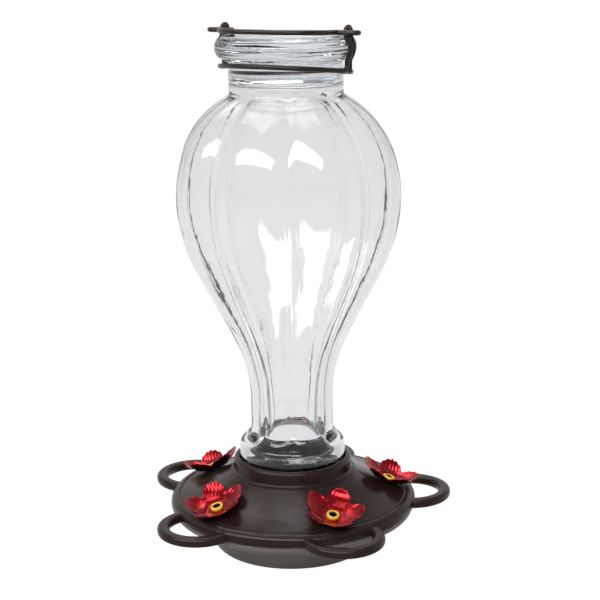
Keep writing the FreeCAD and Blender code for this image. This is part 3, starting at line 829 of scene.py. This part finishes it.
def make_bottle(rings):
    points = [point for one_ring in rings for point in one_ring]
    faces = []
    for i in range(len(rings) - 1):
        here, below = i * AROUND, (i + 1) * AROUND
        for k in range(AROUND):
            ahead = (k + 1) % AROUND
            faces.append((here + k, below + k, below + ahead, here + ahead))
    last = (len(rings) - 1) * AROUND
    faces.append(tuple(range(AROUND)))
    faces.append(tuple(last + AROUND - 1 - k for k in range(AROUND)))
    bottle = new_piece("glass_bottle", points, faces, "bottle", clear_glass)
    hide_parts("bottle")
    return bottle


bottle = make_bottle(outside + inside)
print("bottle:", len(bottle.data.polygons), "faces, box", [round(v * 1000, 1) for v in bottle.dimensions])

# %% [markdown]
# ## Red blossoms: one petal
#
# Each blossom is one stamping of thin sheet: a small flat disc under the port and five petals, scooped like
# shells. Radial ribs pressed into each petal break its highlights into short strokes. A petal could be cut
# from a sphere, but then its root would stand off the disc. Instead it is a grid that runs from the disc to a
# round tip: a tight bend lifts it off the disc, a scoop carries it up, and the ribs are added on top.

# %% One petal
PETAL_ROOT_R, PETAL_ROOT_HALF, PETAL_ROUND_R = 2.9, 1.9, 6.2
BLOSSOM_R = 15.1
PETAL_WIDEST = 0.62
BEND_START, BEND_RUN, BEND_RISE = 4.6, 2.6, 0.9
SCOOP_R, SCOOP_SHARE, SCOOP_ACROSS, SCOOP_ACROSS_RUN = 12.0, 0.93, 0.9, 4
RIBS, RIB_HEIGHT, RIB_START, RIB_RUN, RIB_LOSS = 7, 0.24, 0.38, 0.3, 0.6
TIP_WAVES, TIP_WAVE = 2.5, 0.28
PETAL_ROWS, PETAL_COLUMNS = 20, 34


def petal_point(u, v, lift):
    """A point of a petal along +X: u runs from root to tip, v from edge to edge."""
    round_tip = BLOSSOM_R - PETAL_ROUND_R + PETAL_ROUND_R * sqrt(max(1 - v * v, 0))
    tip = round_tip + TIP_WAVE * cos(2 * pi * TIP_WAVES * v)
    x = PETAL_ROOT_R + (tip - PETAL_ROOT_R) * u
    y = v * (PETAL_ROOT_HALF + (PETAL_ROUND_R - PETAL_ROOT_HALF) * smooth_step(u / PETAL_WIDEST))
    along = max(x - BEND_START, 0)
    across = SCOOP_ACROSS * y * min(along / SCOOP_ACROSS_RUN, 1)
    bend = BEND_RISE * (1 - cos(min(along / BEND_RUN, 1) * pi)) / 2
    scoop = SCOOP_R - sqrt(SCOOP_R ** 2 - along ** 2 - across ** 2)
    fade = min(max((u - RIB_START) / RIB_RUN, 0), 1) * (1 - RIB_LOSS * abs(v))
    rib = RIB_HEIGHT * fade * cos(pi * RIBS * v)
    return Vector((x, y, (scoop * SCOOP_SHARE + bend) * lift + rib))


def petal_grid(lift):
    """Points and faces of one petal, with its columns closer together at the edges."""
    points = []
    for i in range(PETAL_ROWS + 1):
        for j in range(PETAL_COLUMNS + 1):
            v = -sin(pi / 2 * (1 - 2 * j / PETAL_COLUMNS))
            points.append(petal_point(i / PETAL_ROWS, v, lift))
    faces = []
    row = PETAL_COLUMNS + 1
    for i in range(PETAL_ROWS):
        for j in range(PETAL_COLUMNS):
            corner = i * row + j
            faces.append((corner, corner + row, corner + row + 1, corner + 1))
    return points, faces


tip = petal_point(1, 0, 1)
print("a petal's tip stands", round(tip.x, 1), "mm out and", round(tip.z, 1), "mm up")

# %% [markdown]
# ## Red blossoms: five stampings
#
# All blossoms come from one stamp, but no two petals were bent alike, and each blossom is turned on its port.
# A copied blossom would show as a copy, so each petal gets its own small turn and lift from a seeded draw.
# The sheet's thickness and its soft edge come from two modifiers, which are applied at the end.

# %% Where a blossom sits
PORT_SEAT_RISE = 0.4
PORT_LEAN = radians(18.38)
SHEET = 0.55
SHEET_CLEARANCE = 0.1


def blossom_frame(index):
    """Placement of a blossom on its port's seat, leaning outwards with the dome."""
    azimuth = FIRST_PORT_AZIMUTH + 360.0 / PORTS * index
    turn = Matrix.Rotation(radians(azimuth - 90), 4, "Z") @ Matrix.Rotation(PORT_LEAN, 4, "Y")
    seat = at(PORT_SEAT_REACH, azimuth, PORT_SEAT_Z)
    up = turn @ Vector((0, 0, 1))
    return Matrix.Translation(seat + up * (PORT_SEAT_RISE + SHEET + SHEET_CLEARANCE) * MM) @ turn


print("first blossom at", [round(v, 4) for v in blossom_frame(0).translation])

# %% Five blossoms
PETALS = 5
BLOSSOM_TURNS = (-4.0, 8.0, 0.0, 15.0, 20.0)
BLOSSOM_LIFTS = (1.0, 1.0, 0.90, 1.0, 1.0)
TURN_SPREAD, LIFT_SPREAD = 2, 0.05
DISC_HOLE_R, DISC_R, DISC_AROUND = 2.75, 5.0, 40


def disc_grid():
    """Points and faces of the flat disc that the port holds down."""
    points = []
    faces = []
    for k in range(DISC_AROUND):
        a = 2 * pi * k / DISC_AROUND
        points.append(Vector((DISC_HOLE_R * cos(a), DISC_HOLE_R * sin(a), 0)))
        points.append(Vector((DISC_R * cos(a), DISC_R * sin(a), 0)))
        ahead = (k + 1) % DISC_AROUND
        faces.append((2 * k, 2 * k + 1, 2 * ahead + 1, 2 * ahead))
    return points, faces


def applied(piece):
    """Bake the piece's modifiers into its mesh."""
    depsgraph = bpy.context.evaluated_depsgraph_get()
    mesh = bpy.data.meshes.new_from_object(piece.evaluated_get(depsgraph))
    piece.modifiers.clear()
    piece.data = mesh
    mesh.shade_smooth()
    return piece


def make_blossom(index, chance):
    """A disc and five petals, each a little turned and lifted by chance, as one thin sheet."""
    points = []
    faces = []

    def add(grid, turn):
        start = len(points)
        for point in grid[0]:
            points.append((Matrix.Rotation(turn, 3, "Z") @ point) * MM)
        for face in grid[1]:
            faces.append(tuple(start + corner for corner in face))

    add(disc_grid(), 0)
    for i in range(PETALS):
        degrees_on = 360.0 / PETALS * i + BLOSSOM_TURNS[index] + chance.uniform(-TURN_SPREAD, TURN_SPREAD)
        lift = BLOSSOM_LIFTS[index] + chance.uniform(-LIFT_SPREAD, LIFT_SPREAD)
        add(petal_grid(lift), radians(degrees_on))
    name = "blossom_" + str(index + 1)
    blossom = new_piece(name, points, faces, "base", red_enamel)
    blossom.data.transform(blossom_frame(index))
    sheet = blossom.modifiers.new("sheet", "SOLIDIFY")
    sheet.thickness = SHEET * MM
    sheet.offset = -1
    round_edge = blossom.modifiers.new("round_edge", "SUBSURF")
    round_edge.levels = 1
    round_edge.render_levels = 1
    applied(blossom)
    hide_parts("flower_" + str(index + 1))
    return blossom


chance = random.Random(5)
for index in range(PORTS):
    blossom = make_blossom(index, chance)
    print(blossom.name, len(blossom.data.polygons), "faces")
